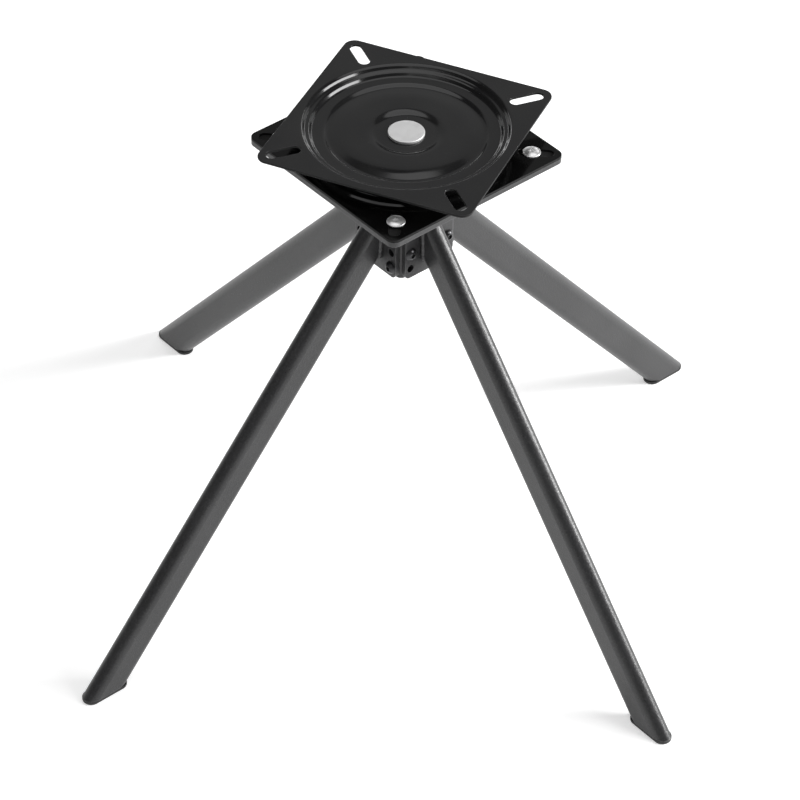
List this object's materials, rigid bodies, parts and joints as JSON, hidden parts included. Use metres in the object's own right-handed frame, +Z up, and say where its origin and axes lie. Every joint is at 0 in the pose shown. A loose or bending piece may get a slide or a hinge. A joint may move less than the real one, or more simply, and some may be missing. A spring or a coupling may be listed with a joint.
{
  "type": "four-legged swivel seat base",
  "caption": "Low steel seat base: splayed flat-oval legs bolted to a square hub, with a square ball-bearing swivel plate on top that turns freely.",
  "frame": {"origin": "on the floor, under the swivel's pivot", "axes": "+Z up along the pivot; the legs point along +X, +Y, -X and -Y, named right, rear, left and front"},
  "size_m": [0.6646, 0.6646, 0.4207],
  "materials": {
    "frame_coat": "fine-textured satin powder coat, near black",
    "swivel_gloss": "gloss black stoved enamel",
    "rivet_steel": "matt pale silver",
    "zinc": "bright zinc plate",
    "black_zinc": "black plated, satin",
    "plug_plastic": "matt black moulded plastic",
    "nylon": "natural nylon",
    "ball_steel": "polished bearing steel"
  },
  "bodies": {
    "base": {"frame_top_plate": "frame_coat", "hub_tube": "frame_coat", "hub_weld": "frame_coat", "leg_bracket_right": "frame_coat", "leg_tube_right": "frame_coat", "leg_weld_right": "frame_coat", "bracket_bolts_right": "black_zinc", "foot_plug_right": "plug_plastic", "leg_bracket_rear": "frame_coat", "leg_tube_rear": "frame_coat", "leg_weld_rear": "frame_coat", "bracket_bolts_rear": "black_zinc", "foot_plug_rear": "plug_plastic", "leg_bracket_left": "frame_coat", "leg_tube_left": "frame_coat", "leg_weld_left": "frame_coat", "bracket_bolts_left": "black_zinc", "foot_plug_left": "plug_plastic", "leg_bracket_front": "frame_coat", "leg_tube_front": "frame_coat", "leg_weld_front": "frame_coat", "bracket_bolts_front": "black_zinc", "foot_plug_front": "plug_plastic", "swivel_lower_plate": "swivel_gloss", "swivel_rivet": "rivet_steel", "rivet_washer": "zinc", "thrust_washer": "nylon", "plate_screws": "zinc", "plate_nuts": "zinc"},
    "ball_ring": {"ball_cage": "nylon", "race_balls": "ball_steel"},
    "seat_plate": {"swivel_upper_plate": "swivel_gloss"}
  },
  "joints": [
    {"name": "swivel", "type": "hinge", "parent": "base", "child": "seat_plate", "pos_m": [0, 0, 0.4075], "axis": [0, 0, 1], "continuous": true},
    {"name": "ball_roll", "type": "hinge", "parent": "base", "child": "ball_ring", "pos_m": [0, 0, 0.4075], "axis": [0, 0, 1], "continuous": true}
  ],
  "couplings": [
    {"joint": "ball_roll", "follows": "swivel", "ratio": 0.5}
  ]
}
